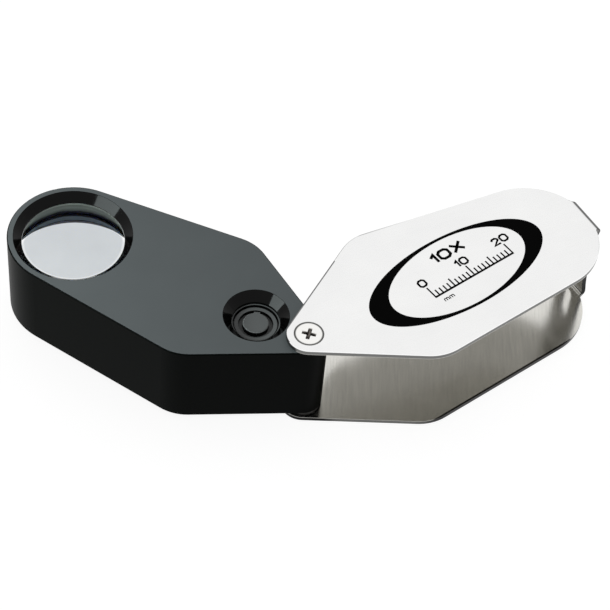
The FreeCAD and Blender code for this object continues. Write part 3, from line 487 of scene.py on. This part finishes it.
def make_capped(name, dark, light, edge):
    """Moulded black, grey on level faces, with painted shade on the upright sides and a painted
    highlight on the rounded edges.
    """
    made = Material(name, Specular_IOR_Level=0.04)
    tree = made.tree
    grain = use(made, GRAIN, Grains_per_mm=12.0, Cloud_size=4.0).outputs
    facing = use(made, FACING).outputs
    flat = mix(tree, grain["Cloud"], (*dark, 1), (*light, 1))
    # Sides almost black are painted shade; the lighter rounded edges are a painted highlight.
    sides = mix(tree, facing["Round"], (0.002, 0.002, 0.002, 1), (*edge, 1))
    made.feed("Base Color", mix(tree, facing["Level"], sides, flat))
    made.feed("Roughness", spread(tree, grain["Grain"], 0.35, 0.45))
    relief(made, grain["Grain"], 0.002, 0.3)
    return made.material


def make_ring_black():
    """Dead black inside the lens tube, with a blue grey painted reflection in the bore of the lock
    ring. Dead black inside the lens tube, with a blue grey tone in the bore of the lock ring, a
    guess.
    """
    made = Material("ring_black", Specular_IOR_Level=0.03, Roughness=0.75)
    tree = made.tree
    grain = use(made, GRAIN, Grains_per_mm=8.0, Cloud_size=5.0).outputs
    where = use(made, RADIUS, Axis_x=LENS_AXIS[0], Axis_y=LENS_AXIS[1]).outputs
    ring_low = bottom_of("cell_lock_ring")
    ring_high = top_of("cell_lock_ring")
    bore = times(tree, calc(tree, "LESS_THAN", where["Radius"], BORE_EDGE),
                 ramp(tree, where["Height"], ring_high + 0.2, ring_high + 1.0, 1.0, 0.0),
                 calc(tree, "GREATER_THAN", where["Height"], ring_low + 0.25))
    black = mix(tree, grain["Cloud"], (0.004, 0.004, 0.004, 1), (0.008, 0.008, 0.008, 1))
    # The blue grey in the bore of the lock ring: a painted reflection.
    grey = mix(tree, grain["Cloud"], (0.36, 0.43, 0.47, 1), (0.56, 0.65, 0.70, 1))
    made.feed("Base Color", mix(tree, bore, black, grey))
    relief(made, grain["Grain"], 0.003, 0.3)
    return made.material


def make_ground_edge():
    """Ground edge of the triplet, in bands by height: light at the front face, black at the foot.

    The bands are painted highlight and painted shade, laid by height. The bands are a guess,
    because some of them may be light rather than finish.
    """
    made = Material("ground_edge", Specular_IOR_Level=0.2, Roughness=0.7)
    tree = made.tree
    grain = use(made, GRAIN, Grains_per_mm=3.0, Cloud_size=5.0).outputs
    where = use(made, RADIUS, Axis_x=LENS_AXIS[0], Axis_y=LENS_AXIS[1]).outputs
    down = ramp(tree, where["Height"], EDGE_TOP, EDGE_FOOT)
    waver = times(tree, 0.25, calc(tree, "SUBTRACT", grain["Cloud"], 0.5))
    # Light and dark bands by height: painted highlight and painted shade.
    bands = tree.nodes.new("ShaderNodeValToRGB")
    stops = ((0.0, 0.35), (0.08, 0.98), (0.3, 0.62), (0.55, 0.78), (0.75, 0.45), (0.88, 0.03),
             (1.0, 0.004))
    while len(bands.color_ramp.elements) < len(stops):
        bands.color_ramp.elements.new(0.5)
    for element, (position, value) in zip(bands.color_ramp.elements, stops):
        element.position = position
        element.color = (0.9 * value, value, 0.93 * value, 1)
    tree.links.new(calc(tree, "ADD", down, waver), bands.inputs[0])
    made.feed("Base Color", bands.outputs[0])
    relief(made, grain["Grain"], 0.003, 0.3)
    return made.material


def make_glass():
    """Coated optical glass, a little grey, with a clear thin ring at its rim as a painted highlight.
    """
    made = Material("lens_glass", Metallic=0.0, Transmission_Weight=1.0, IOR=1.63, Roughness=0.0,
                    Thin_Film_Thickness=145.0, Thin_Film_IOR=1.28)
    made.shader.inputs["Specular Tint"].default_value = (0.16, 0.18, 0.2, 1)
    tree = made.tree
    cloud = use(made, GRAIN, Grains_per_mm=1.0, Cloud_size=12.0).outputs["Cloud"]
    radius = use(made, RADIUS, Axis_x=LENS_AXIS[0], Axis_y=LENS_AXIS[1]).outputs["Radius"]
    tinted = mix(tree, spread(tree, cloud, 0.0, 1.0), (0.60, 0.63, 0.65, 1), (0.71, 0.74, 0.755, 1))
    # A clear ring at the rim: a painted highlight.
    rim_highlight = ramp(tree, radius, 9.5, 9.8)
    made.feed("Base Color", mix(tree, rim_highlight, tinted, (0.99, 1.0, 0.995, 1)))
    return made.material


def dress(material, *names):
    """Gives CAD nodes a material in all their slots."""
    for name in names:
        mesh = nodes[name].data
        if not mesh.materials:
            mesh.materials.append(material)
        for k in range(len(mesh.materials)):
            mesh.materials[k] = material


cover_steel = make_cover_steel()
housing_black = make_housing_black()
glass = make_glass()
ground_edge = make_ground_edge()
post_steel = make_plain("post_steel", (0.56, 0.56, 0.55), (0.64, 0.64, 0.63), (0.22, 0.32), 1.0)
bezel_black = make_capped("bezel_black", (0.105, 0.109, 0.109), (0.13, 0.134, 0.134),
                          (0.045, 0.047, 0.047))
button_black = make_capped("button_black", (0.10, 0.103, 0.103), (0.13, 0.133, 0.133),
                           (0.2, 0.205, 0.205))
inner_black = make_plain("inner_black", (0.006, 0.006, 0.006), (0.010, 0.010, 0.010), (0.4, 0.55),
                         Specular_IOR_Level=0.2)
cap_black = make_plain("cap_black", (0.04, 0.042, 0.042), (0.055, 0.058, 0.058), (0.35, 0.45))
nylon = make_plain("nylon", (0.012, 0.012, 0.012), (0.02, 0.02, 0.02), (0.4, 0.5))
brass = make_plain("brass", (0.7, 0.5, 0.24), (0.8, 0.6, 0.3), (0.25, 0.4), 1.0)
nickel = make_plain("nickel", (0.68, 0.67, 0.64), (0.76, 0.75, 0.72), (0.2, 0.3), 1.0)
lamp_clear = make_plain("lamp_clear", (0.9, 0.92, 0.93), (0.95, 0.96, 0.97), (0.08, 0.14),
                        Transmission_Weight=0.85)

dress(cover_steel, "folding_cover")
dress(post_steel, "pivot_screw", "pivot_post")
dress(nylon, "lower_washer", "upper_washer")
dress(housing_black, "lens_housing")
dress(glass, "front_lens", "centre_lens", "rear_lens")
dress(inner_black, "switch_base")
dress(make_ring_black(), "lens_cell", "lens_retainer", "cell_lock_ring")
dress(bezel_black, "switch_bezel")
dress(button_black, "light_button")
dress(cap_black, "battery_cap")
dress(brass, "battery_contact", "switch_dome", "feed_strip", "return_strip")
dress(nickel, "button_cell_lower", "button_cell_middle", "button_cell_upper", "battery_spring",
      "lamp_leads")
dress(lamp_clear, "lamp")


# ---------------------------------------------------------------- triplet

def make_triplet():
    """The cemented triplet as one clear body: two spherical faces joined by the ground edge.

    The profile is turned about the lens axis: z = c + s sqrt(R^2 - r^2) on each face, from the axis to
    the rim, and the cylinder r = radius between the two rims.
    """
    low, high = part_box("front_lens")
    radius = (high.x - low.x) / 2 / MM
    top = high.z / MM
    bottom = bottom_of("rear_lens")
    curve = 32.7
    sag = curve - math.sqrt(curve**2 - radius**2)
    upper = cap(radius, top - sag, top)
    lower = cap(radius, bottom + sag, bottom)[::-1]
    piece = turned("lens_triplet", LENS_AXIS, np.vstack([upper, lower]))
    piece.data.materials.append(glass)
    piece.data.materials.append(ground_edge)
    normals = np.empty(len(piece.data.polygons) * 3)
    piece.data.polygons.foreach_get("normal", normals)
    on_edge = np.abs(normals[2::3]) < 0.05
    piece.data.polygons.foreach_set("material_index", on_edge.astype(int))
    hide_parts("front_lens", "centre_lens", "rear_lens")
    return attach(piece, "housing")


make_triplet()


# ---------------------------------------------------------------- pivot screw

def make_screw_steel():
    """Bright screw, with painted shade down in its recess and along the seam round its head."""
    made = Material("screw_steel", Metallic=1.0)
    tree = made.tree
    grain = use(made, GRAIN, Grains_per_mm=12.0, Cloud_size=3.0).outputs
    where = use(made, RADIUS).outputs
    # Darker down the recess and at the seam round the head: painted shade.
    deep = ramp(tree, where["Height"], COVER_TOP - 0.02, COVER_TOP - 0.45)
    seam = ramp(tree, where["Radius"], HEAD_SEAM - 0.32, HEAD_SEAM - 0.14)
    bright = mix(tree, grain["Cloud"], (0.58, 0.575, 0.56, 1), (0.66, 0.655, 0.64, 1))
    sunk = mix(tree, deep, bright, (0.11, 0.10, 0.09, 1))
    made.feed("Base Color", mix(tree, seam, sunk, (0.14, 0.14, 0.135, 1)))
    made.feed("Roughness", spread(tree, grain["Grain"], 0.2, 0.34))
    relief(made, grain["Grain"], 0.002, 0.3)
    return made.material


def make_screw():
    """Countersunk screw over rings r and angles a: x = r cos a, y = r sin a, z = top - depth * inside.

    inside rises from 0 at the outline of the cross to 1 over the taper, and the recess gets shallower
    towards the ends of its arms. Beyond the flat top come the rounded rim, the cone and the shank.
    """
    low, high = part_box("pivot_screw")
    head = high.x / MM
    top = high.z / MM
    bottom = low.z / MM
    shank, rim = 1.5, 0.18
    arm_length, arm_width, taper, depth = 1.38, 0.38, 0.2, 0.9
    shallower = 0.55
    angle = np.linspace(0, 2 * math.pi, 288, endpoint=False)[:, None]
    flat = np.linspace(0, head - rim, 70)
    bow = np.linspace(0, math.pi / 2, 7)[1:]
    radius = np.concatenate([flat, head - rim + rim * np.sin(bow), [shank, shank, 0.0]])
    height = np.concatenate([
        np.full(len(flat), top), top - rim + rim * np.cos(bow), [top - (head - shank), bottom, bottom]
    ])
    x = radius * np.cos(angle)
    y = radius * np.sin(angle)
    z = np.broadcast_to(height, x.shape).copy()
    along = np.abs(x + y) / math.sqrt(2)
    across = np.abs(y - x) / math.sqrt(2)
    first = np.maximum(along - arm_length, across - arm_width)
    second = np.maximum(across - arm_length, along - arm_width)
    inside = np.clip(-np.minimum(first, second) / taper, 0, 1)
    shallow = 1 - shallower * np.clip(np.maximum(along, across) / arm_length, 0, 1)
    in_top = np.arange(len(radius)) < len(flat)
    z = z - np.where(in_top, depth * inside * shallow, 0)
    piece = creased(surface("pivot_screw_head", np.stack([x, y, z], axis=-1), close_u=True))
    piece.data.materials.append(make_screw_steel())
    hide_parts("pivot_screw")
    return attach(piece, "cover")


# ---------------------------------------------------------------- printing on the cover

OVAL = (33.8, -0.4)
OVAL_TURN = math.radians(6.6)


def on_cover(points):
    """Turns points (x, y, z) of the oval's own frame onto the cover's top."""
    x, y = points[..., 0], points[..., 1]
    placed = np.empty_like(points)
    placed[..., 0] = OVAL[0] + x * math.cos(OVAL_TURN) - y * math.sin(OVAL_TURN)
    placed[..., 1] = OVAL[1] + x * math.sin(OVAL_TURN) + y * math.cos(OVAL_TURN)
    placed[..., 2] = COVER_TOP + points[..., 2]
    return placed


def finish_print(piece):
    """Gives a printed piece its ink and its body."""
    piece.data.materials.append(print_black)
    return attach(piece, "cover")


def make_oval_ring():
    """A flat ring between two ovals: corner k of the section goes round (a_k cos t, b_k sin t), turned
    by its own small angle and shifted, at the level under or over."""
    angle = np.linspace(0, 2 * math.pi, 256, endpoint=False)[:, None]
    half_x = np.array([21.0, 21.0, 16.4, 16.4])
    half_y = np.array([8.95, 8.95, 8.28, 8.28])
    turn = np.radians([6.2, 6.2, 8.1, 8.1]) - OVAL_TURN
    shift = np.array([-0.01, -0.01, 0.11, 0.11])
    level = np.array([PRINT_UNDER, PRINT_OVER, PRINT_OVER, PRINT_UNDER])
    x = half_x * np.cos(angle)
    y = half_y * np.sin(angle)
    points = np.stack([
        shift + x * np.cos(turn) - y * np.sin(turn),
        x * np.sin(turn) + y * np.cos(turn),
        level + 0 * x,
    ], axis=-1)
    ring = surface("oval_ring", on_cover(points), close_u=True, close_v=True, smooth=False)
    return finish_print(ring)


def make_scale():
    """Graduations every millimetre over a base line: bar n is a box with x = n - 10 -+ half a line,
    y from the foot to the foot plus its height, and z from under to over."""
    length, foot, base_line = 20, -2.4, -2.85
    half_line, centre_x = 0.17, 2.3
    long_mark, middle_mark, short_mark = 2.6, 2.0, 1.3
    marks = np.arange(length + 1)
    tall = np.where(marks % 10 == 0, long_mark, np.where(marks % 5 == 0, middle_mark, short_mark))
    end = length / 2 + half_line
    left = np.append(marks - end, -end)
    right = np.append(marks - (length / 2 - half_line), end)
    low = np.append(np.full(len(marks), foot), base_line)
    high = np.append(tall + foot, foot)
    x = np.stack([left, right, right, left] * 2, axis=-1)
    y = np.stack([low, low, high, high] * 2, axis=-1)
    z = np.broadcast_to([PRINT_UNDER] * 4 + [PRINT_OVER] * 4, x.shape)
    corners = on_cover(np.stack([x, y, z], axis=-1) + np.array([centre_x, 0.0, 0.0])).reshape(-1, 3)
    box = np.array(
        [[0, 3, 2, 1], [4, 5, 6, 7], [0, 1, 5, 4], [1, 2, 6, 5], [2, 3, 7, 6], [3, 0, 4, 7]]
    )
    faces = (box[None] + 8 * np.arange(len(left))[:, None, None]).reshape(-1, 4)
    mesh = bpy.data.meshes.new("millimetre_scale")
    mesh.from_pydata((corners * MM).tolist(), [], faces.tolist())
    piece = bpy.data.objects.new("millimetre_scale", mesh)
    bpy.context.scene.collection.objects.link(piece)
    return finish_print(piece)


# Figures in a box one unit high: the width, then the strokes as paths of points.
STROKES = {
    "0": (0.86, [[(0.22, 0), (0.64, 0), (0.86, 0.22), (0.86, 0.78), (0.64, 1), (0.22, 1),
                  (0, 0.78), (0, 0.22), (0.22, 0)]]),
    "1": (0.34, [[(0, 0.72), (0.34, 1), (0.34, 0)]]),
    "2": (0.8, [[(0, 0.78), (0.2, 1), (0.6, 1), (0.8, 0.8), (0.8, 0.62), (0, 0), (0.82, 0)]]),
    "X": (0.9, [[(0, 0), (0.9, 1)], [(0, 1), (0.9, 0)]]),
    "m": (1.1, [[(0, 0), (0, 0.7)],
                [(0, 0.55), (0.15, 0.7), (0.4, 0.7), (0.55, 0.55), (0.55, 0)],
                [(0.55, 0.55), (0.7, 0.7), (0.95, 0.7), (1.1, 0.55), (1.1, 0)]]),
}
FIGURE_GAP = 0.34


def stroke(path, half):
    """A thick line: each point of the path p goes to p -+ half * n / |cross(run, n)|, where n is the
    unit mitre of the two runs that meet there."""
    path = np.array(path, float)
    runs = np.diff(path, axis=0)
    runs = runs / np.linalg.norm(runs, axis=1, keepdims=True)
    closed = np.allclose(path[0], path[-1])
    before = np.vstack([runs[-1] if closed else runs[0], runs])
    after = np.vstack([runs, runs[0] if closed else runs[-1]])
    side = np.stack([-(before + after)[:, 1], (before + after)[:, 0]], axis=-1)
    side = side / np.linalg.norm(side, axis=1, keepdims=True)
    mitre = np.abs(before[:, 0] * side[:, 1] - before[:, 1] * side[:, 0])
    side = side * (half / np.clip(mitre, 0.5, None))[:, None]
    return np.stack([path - side, path + side], axis=1)


def make_figures(name, text, centre, height, widen, line):
    """Plain figures: every stroke a flat bar whose section (side, level) is carried along its path."""
    start = 0.0
    ribbons = []
    for figure in text:
        width, paths = STROKES[figure]
        for path in paths:
            points = (np.array(path) + [start, 0]) * [height * widen, height]
            ribbons.append(stroke(points, line / 2))
        start += width + FIGURE_GAP
    whole = np.concatenate([ribbon.reshape(-1, 2) for ribbon in ribbons])
    middle_of_all = (whole.min(axis=0) + whole.max(axis=0)) / 2
    parts = []
    for k, ribbon in enumerate(ribbons):
        flat = ribbon - middle_of_all + np.array(centre)
        left, right = flat[:, 0], flat[:, 1]
        section = [
            (left, PRINT_UNDER), (right, PRINT_UNDER), (right, PRINT_OVER), (left, PRINT_OVER)
        ]
        grid = np.stack(
            [np.column_stack([side, np.full(len(side), level)]) for side, level in section], axis=1
        )
        parts.append(closed_bar(f"{name}_{k}", on_cover(grid)))
    return finish_print(joined(name, parts))


def closed_bar(name, grid):
    """A bar over a grid (points along the path, corners of the section) with both ends filled."""
    piece = surface(name, grid, close_v=True, smooth=False)
    work = bmesh.new()
    work.from_mesh(piece.data)
    bmesh.ops.holes_fill(work, edges=[edge for edge in work.edges if edge.is_boundary], sides=8)
    bmesh.ops.recalc_face_normals(work, faces=work.faces)
    work.to_mesh(piece.data)
    work.free()
    return piece


def joined(name, parts):
    """One piece from several, all already in place."""
    work = bmesh.new()
    for part in parts:
        work.from_mesh(part.data)
        bpy.data.objects.remove(part)
    mesh = bpy.data.meshes.new(name)
    work.to_mesh(mesh)
    work.free()
    piece = bpy.data.objects.new(name, mesh)
    bpy.context.scene.collection.objects.link(piece)
    return piece


print_black = make_plain("print_black", (0.001, 0.001, 0.001), (0.002, 0.002, 0.002), (0.4, 0.5),
                         Specular_IOR_Level=0.01)
make_screw()
make_oval_ring()
make_scale()
make_figures("magnification", "10X", (1.6, 5.1), 2.1, 1.3, 0.62)
for mark in (0, 10, 20):
    make_figures(f"figure_{mark}", str(mark), (mark - 7.7, 1.55), 1.6, 1.1, 0.45)
make_figures("unit", "mm", (-5.6, -4.2), 0.9, 1.0, 0.2)


# ---------------------------------------------------------------- stage, light and camera

def shown_white(tree):
    """1 for rays from the camera, through glass or off a glossy surface, which all see white."""
    path = tree.nodes.new("ShaderNodeLightPath")
    shown = calc(tree, "MAXIMUM", path.outputs["Is Camera Ray"], path.outputs["Is Transmission Ray"])
    return calc(tree, "MAXIMUM", shown, path.outputs["Is Glossy Ray"])


def make_stage():
    """A pale floor, the plane z = level under the object, which looks white and keeps its shadow."""
    made = Material("floor_white", Roughness=0.9)
    made.shader.inputs["Base Color"].default_value = (0.8, 0.8, 0.8, 1)
    tree = made.tree
    shown = shown_white(tree)
    white = place(tree, "ShaderNodeEmission", Color=(0.9, 0.9, 0.9, 1))
    paper = place(tree, "ShaderNodeBsdfDiffuse", Color=(0.3, 0.3, 0.3, 1))
    pale = tree.nodes.new("ShaderNodeAddShader")
    tree.links.new(white.outputs[0], pale.inputs[0])
    tree.links.new(paper.outputs[0], pale.inputs[1])
    both = tree.nodes.new("ShaderNodeMixShader")
    tree.links.new(shown, both.inputs[0])
    tree.links.new(made.shader.outputs[0], both.inputs[1])
    tree.links.new(pale.outputs[0], both.inputs[2])
    output = next(n for n in tree.nodes if n.type == "OUTPUT_MATERIAL")
    tree.links.new(both.outputs[0], output.inputs[0])
    half, level = 2000.0, -0.01
    line = np.array([-half, half])
    x, y = np.meshgrid(line, line, indexing="ij")
    floor = surface("floor", np.stack([x, y, np.full_like(x, level)], axis=-1), smooth=False)
    floor.data.materials.append(made.material)


def make_world():
    """A white surround that lights the object only softly."""
    world = bpy.data.worlds.new("studio")
    bpy.context.scene.world = world
    world.use_nodes = True
    tree = world.node_tree
    back = next(n for n in tree.nodes if n.type == "BACKGROUND")
    back.inputs["Color"].default_value = (1, 1, 1, 1)
    tree.links.new(blend_values(tree, shown_white(tree), 0.3, 1.0), back.inputs["Strength"])


def make_lamp_panel(name, place_mm, aim_mm, size_mm, watts, colour=(1, 1, 1), lit=()):
    """A soft panel of light aimed at a point. Where nodes are named in lit, it lights only them."""
    data = bpy.data.lights.new(name, "AREA")
    data.shape = "RECTANGLE"
    data.size, data.size_y = size_mm[0] * MM, size_mm[1] * MM
    data.energy = watts
    data.color = colour
    lamp = bpy.data.objects.new(name, data)
    bpy.context.scene.collection.objects.link(lamp)
    lamp.location = Vector(place_mm) * MM
    aim = Vector(aim_mm) * MM - lamp.location
    lamp.rotation_euler = aim.to_track_quat("-Z", "Y").to_euler()
    if lit:
        receivers = bpy.data.collections.new(f"lit_by_{name}")
        for piece in lit:
            receivers.objects.link(nodes[piece])
        lamp.light_linking.receiver_collection = receivers


def make_camera():
    """The camera, from its place and its axes: right, down and forward."""
    right = Vector((0.852334, -0.518976, 0.064736))
    down = Vector((-0.362472, -0.67541, -0.642211))
    forward = Vector((0.377016, 0.523913, -0.763789))
    data = bpy.data.cameras.new("view")
    data.sensor_width = 36.0
    data.lens = 126.304
    camera = bpy.data.objects.new("view", data)
    bpy.context.scene.collection.objects.link(camera)
    turn = Matrix((right, -down, -forward)).transposed().to_4x4()
    stand = Vector((-151.69, -208.566, 335.015)) * MM
    camera.matrix_world = Matrix.Translation(stand) @ turn
    bpy.context.scene.camera = camera


make_stage()
make_world()
make_lamp_panel("overhead", (250, 350, 600), (0, 20, 0), (1000, 1000), 1.57)
make_lamp_panel("side", (-182, 60, 117), (-15, 30, 20), (131, 80), 0.42, (0.88, 1.0, 1.0),
                ("lens_housing", "switch_bezel", "light_button"))
make_camera()

bpy.context.scene.view_settings.view_transform = "Standard"
